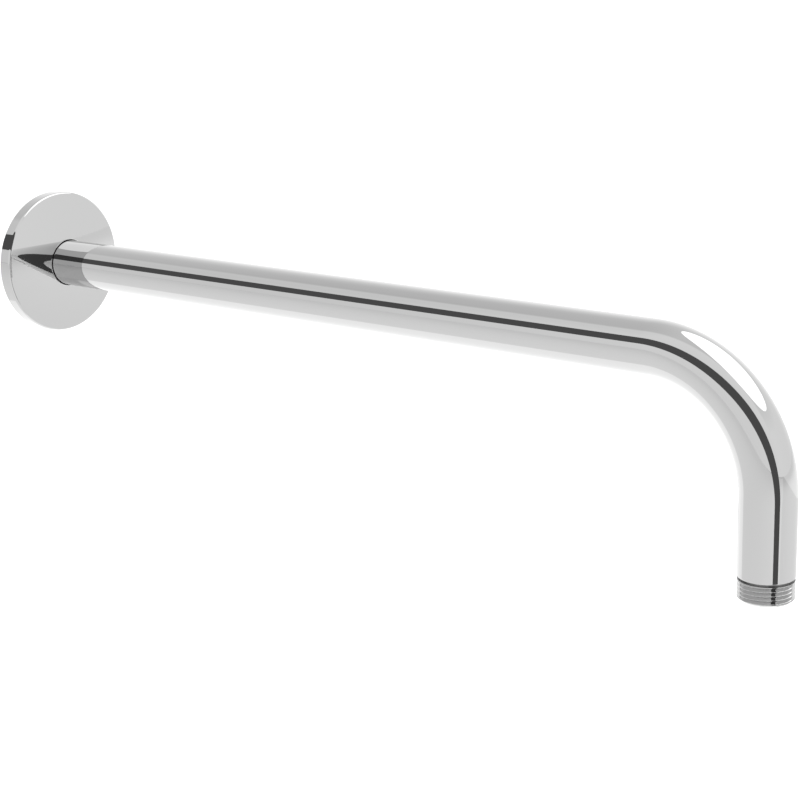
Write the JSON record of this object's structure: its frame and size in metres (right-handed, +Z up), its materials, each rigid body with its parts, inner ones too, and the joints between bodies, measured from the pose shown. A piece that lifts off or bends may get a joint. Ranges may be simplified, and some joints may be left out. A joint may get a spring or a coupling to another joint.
{
  "type": "shower arm",
  "caption": "Chromed bent tube that carries a shower head out from a wall outlet, with a threaded nipple in each end and a round flange that slides on the tube and covers the wall hole.",
  "frame": {"origin": "on the arm's axis at the face of the wall, which is the plane of the flange's back rim", "axes": "+X out of the wall along the arm, +Z up, so the outlet points down along -Z and the arm lies in the XZ plane"},
  "size_m": [0.4116, 0.066, 0.12],
  "materials": {
    "chrome_tube": "mirror-bright chrome plate on a polished brass tube",
    "chrome_thread": "turned brass with thin bright plate over a cut thread",
    "chrome_flange": "mirror-bright chrome plate on a polished brass cover",
    "ring_rubber": "black moulded nitrile rubber"
  },
  "bodies": {
    "arm": {"arm_tube": "chrome_tube", "inlet_nipple": "chrome_thread", "outlet_nipple": "chrome_thread"},
    "flange": {"wall_flange": "chrome_flange", "flange_ring": "ring_rubber"}
  },
  "joints": [
    {"name": "flange_slide", "type": "slide", "parent": "arm", "child": "flange", "axis": [1, 0, 0], "range_m": [0, 0.323]}
  ]
}
